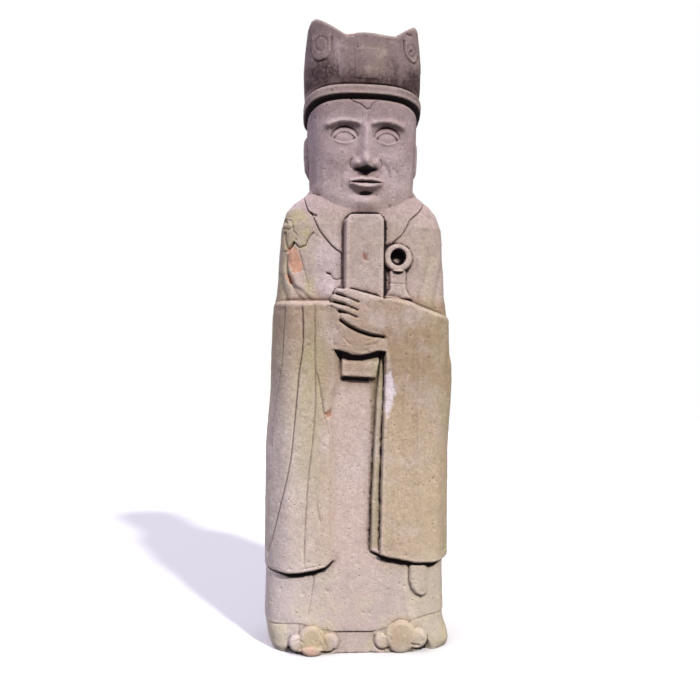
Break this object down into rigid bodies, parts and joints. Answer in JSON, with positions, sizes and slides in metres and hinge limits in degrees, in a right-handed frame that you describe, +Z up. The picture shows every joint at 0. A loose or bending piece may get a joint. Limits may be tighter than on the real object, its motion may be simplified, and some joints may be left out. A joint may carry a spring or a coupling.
{
  "type": "spirit way statue",
  "caption": "Standing stone official carved from one block, in a horned cap and wide-sleeved robe, holding an upright tablet; stands on its flat underside",
  "frame": {"origin": "middle of the footprint, on the flat underside", "axes": "+Z up along the figure's height, the figure faces -Y, +X towards the viewer's right"},
  "size_m": [0.7668, 0.514, 2.5253],
  "materials": {
    "weathered_sandstone": "matte"
  },
  "bodies": {
    "root": {"stone_official": "weathered_sandstone"}
  },
  "joints": []
}
